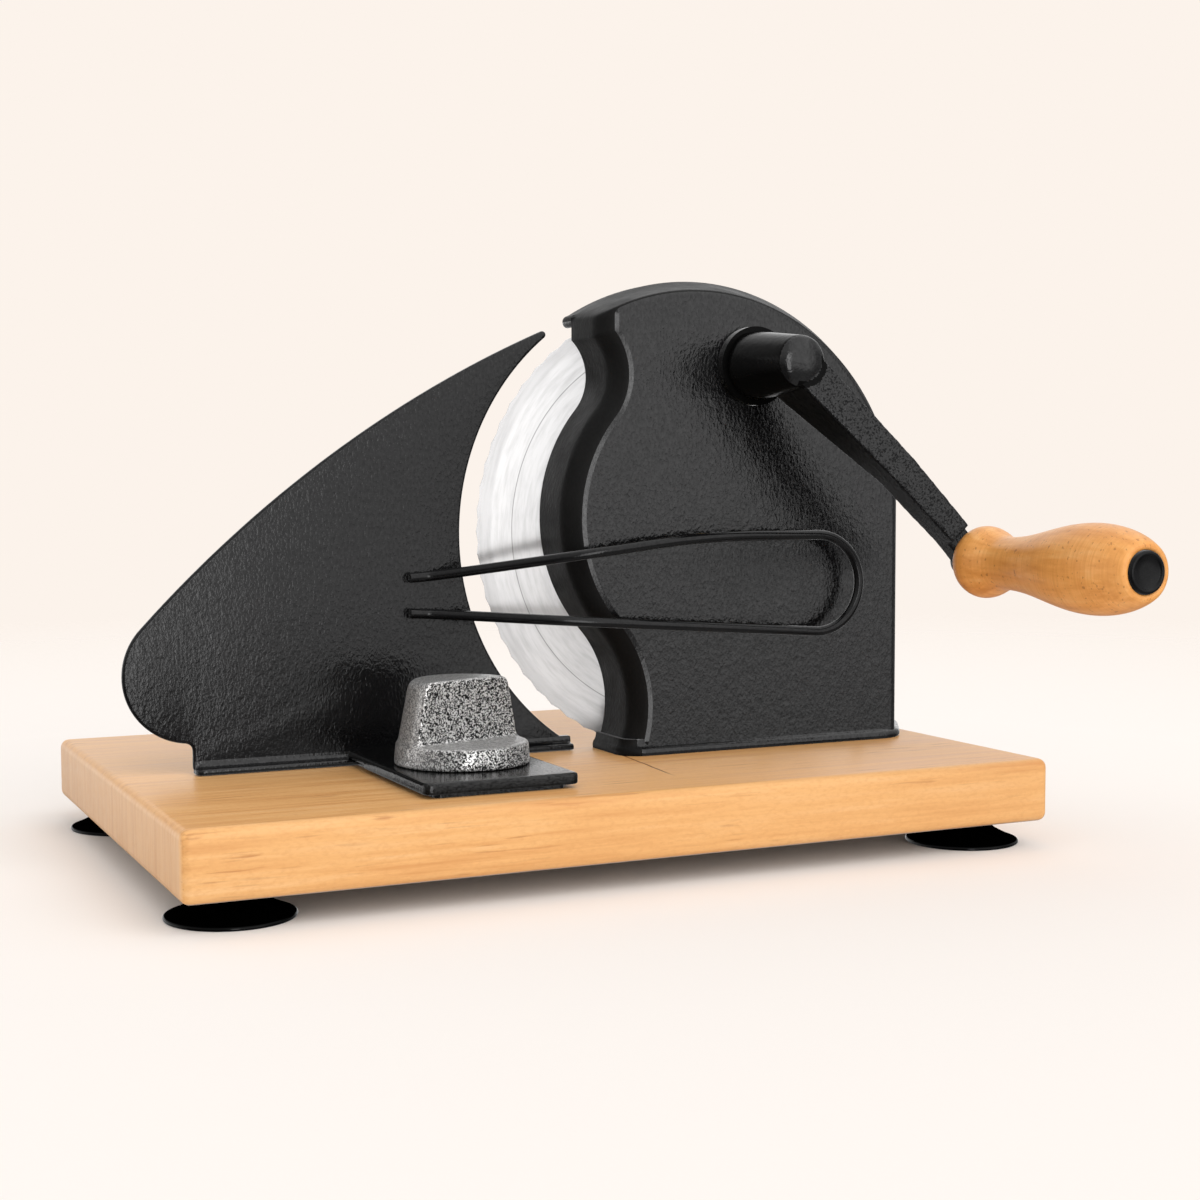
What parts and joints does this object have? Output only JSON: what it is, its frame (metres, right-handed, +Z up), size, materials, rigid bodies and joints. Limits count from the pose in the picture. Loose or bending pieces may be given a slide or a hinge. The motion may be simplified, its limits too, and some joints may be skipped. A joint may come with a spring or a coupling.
{
  "type": "hand-cranked bread slicer",
  "caption": "Hand-cranked bread slicer: round blade in a cast housing on a wooden board, sliding fence with guard wire, clamp knob, crank with turned grip, suction feet.",
  "frame": {"origin": "centre of the whole part's box, on the plane that the feet stand on", "axes": "+X to the right along the board, +Y to the back where the loaf lies, +Z up"},
  "size_m": [0.348, 0.305, 0.229],
  "materials": {
    "board_wood": "oiled beech, satin",
    "grip_wood": "turned beech, lacquered",
    "black_coat": "gloss black coat with a fine texture",
    "blade_steel": "brushed in circles",
    "bright_steel": "zinc plated",
    "bronze": "sintered, oiled",
    "foot_rubber": "glossy",
    "gear_nylon": "moulded",
    "plug_plastic": "moulded",
    "knob_casting": "wrinkled silver coat"
  },
  "bodies": {
    "base": {"base_board": "board_wood", "suction_foot_front_left": "foot_rubber", "suction_foot_front_right": "foot_rubber", "suction_foot_rear_left": "foot_rubber", "suction_foot_rear_right": "foot_rubber", "foot_screws": "bright_steel", "housing": "black_coat", "housing_screws": "bright_steel", "blade_axle": "bright_steel", "axle_washer": "bright_steel", "axle_screw": "bright_steel", "crank_bush": "black_coat", "slide_rail": "black_coat", "rail_screws": "bright_steel", "clamp_stud": "bright_steel"},
    "blade_set": {"blade": "blade_steel", "blade_gear": "gear_nylon", "gear_bush": "bronze", "blade_screws": "bright_steel"},
    "crank": {"crank_shaft": "bright_steel", "shaft_washer": "bronze", "drive_pinion": "bright_steel", "pinion_pin": "bright_steel", "crank_arm": "black_coat", "arm_screw": "bright_steel", "grip_spindle": "bright_steel"},
    "grip": {"crank_grip": "grip_wood", "grip_plug": "plug_plastic"},
    "fence": {"fence_plate": "black_coat", "slide_plate": "black_coat", "plate_screws": "bright_steel", "guard_wire": "black_coat"},
    "knob": {"clamp_knob": "knob_casting", "knob_insert": "bronze", "knob_washer": "bright_steel"}
  },
  "joints": [
    {"name": "crank_turn", "type": "hinge", "parent": "base", "child": "crank", "pos_m": [0.08009, -0.0045, 0.19251], "axis": [0, 1, 0], "continuous": true},
    {"name": "blade_spin", "type": "hinge", "parent": "base", "child": "blade_set", "pos_m": [0.06595, 0.0155, 0.126], "axis": [0, 1, 0], "continuous": true},
    {"name": "grip_spin", "type": "hinge", "parent": "crank", "child": "grip", "pos_m": [0.15685, -0.0945, 0.11303], "axis": [0, 1, 0], "continuous": true},
    {"name": "fence_slide", "type": "slide", "parent": "base", "child": "fence", "axis": [0, -1, 0], "range_m": [0, 0.016]},
    {"name": "knob_turn", "type": "hinge", "parent": "base", "child": "knob", "pos_m": [-0.05505, -0.0215, 0.0505], "axis": [0, 0, 1], "range_deg": [0, 180]}
  ],
  "couplings": [
    {"joint": "blade_spin", "follows": "crank_turn", "ratio": -0.36}
  ]
}
